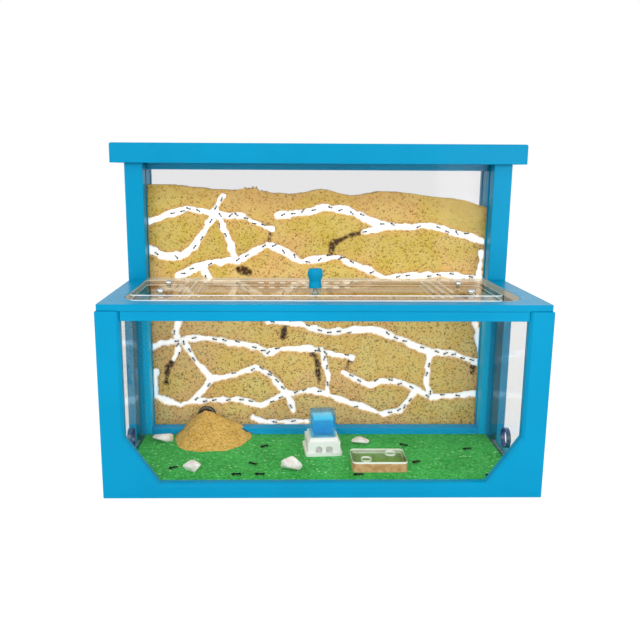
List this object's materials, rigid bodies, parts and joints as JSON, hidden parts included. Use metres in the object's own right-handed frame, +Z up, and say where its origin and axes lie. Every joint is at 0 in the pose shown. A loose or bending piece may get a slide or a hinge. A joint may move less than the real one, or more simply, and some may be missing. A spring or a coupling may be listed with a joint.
{
  "type": "ant habitat",
  "caption": "Glazed ant habitat: a low arena box with a clear lid and knob, and a tall flat sand nest behind it under a thick blue cap.",
  "frame": {"origin": "middle of the bounding box, on the surface that the habitat stands on", "axes": "+Z up, the window of the arena faces -Y, +X to the right seen from the front"},
  "size_m": [0.321, 0.154, 0.24],
  "materials": {
    "blue_acrylic": "polished, laser-cut edges",
    "clear_acrylic": "polished and clear",
    "dark_bush": "glossy",
    "nest_sand": "packed fine sand",
    "green_sand": "dyed coarse sand",
    "white_stone": "rough broken stone",
    "screw_steel": "satin",
    "white_plastic": "moulded",
    "blue_water": "clear blue liquid",
    "tan_tray": "moulded"
  },
  "bodies": {
    "habitat": {"base_plate": "blue_acrylic", "front_frame": "blue_acrylic", "left_side_frame": "blue_acrylic", "right_side_frame": "blue_acrylic", "front_pane": "clear_acrylic", "left_side_pane": "clear_acrylic", "right_side_pane": "clear_acrylic", "left_port_bush": "dark_bush", "right_port_bush": "dark_bush", "left_tower_post": "blue_acrylic", "right_tower_post": "blue_acrylic", "nest_front_rail": "blue_acrylic", "nest_rear_rail": "blue_acrylic", "nest_front_pane": "clear_acrylic", "nest_rear_pane": "clear_acrylic", "nest_sand": "nest_sand", "floor_sand": "green_sand", "sand_mound": "nest_sand", "left_rear_pebble": "white_stone", "left_front_pebble": "white_stone", "middle_pebble": "white_stone", "rear_pebble": "white_stone"},
    "top": {"top_frame": "blue_acrylic", "top_pane": "clear_acrylic"},
    "lid": {"lid_plate": "clear_acrylic", "left_locating_bar": "clear_acrylic", "right_locating_bar": "clear_acrylic", "lid_screws": "screw_steel", "knob": "blue_acrylic", "knob_screw": "screw_steel"},
    "cap": {"tower_cap": "blue_acrylic"},
    "drinker": {"drinker_base": "white_plastic"},
    "tank": {"drinker_tank": "clear_acrylic", "drinker_water": "blue_water"},
    "feeder": {"feeder_tray": "tan_tray"},
    "feeder_lid": {"feeder_cover": "clear_acrylic"}
  },
  "joints": [
    {"name": "top_frame_lift", "type": "slide", "parent": "habitat", "child": "top", "axis": [0, 0, 1], "range_m": [0, 0.02]},
    {"name": "lid_lift", "type": "slide", "parent": "top", "child": "lid", "axis": [0, 0, 1], "range_m": [0, 0.03]},
    {"name": "cap_lift", "type": "slide", "parent": "habitat", "child": "cap", "axis": [0, 0, 1], "range_m": [0, 0.02]},
    {"name": "drinker_lift", "type": "slide", "parent": "habitat", "child": "drinker", "axis": [0, 0, 1], "range_m": [0, 0.05]},
    {"name": "tank_lift", "type": "slide", "parent": "drinker", "child": "tank", "axis": [0, 0, 1], "range_m": [0, 0.03]},
    {"name": "feeder_lift", "type": "slide", "parent": "habitat", "child": "feeder", "axis": [0, 0, 1], "range_m": [0, 0.06]},
    {"name": "feeder_cover_lift", "type": "slide", "parent": "feeder", "child": "feeder_lid", "axis": [0, 0, 1], "range_m": [0, 0.02]}
  ]
}
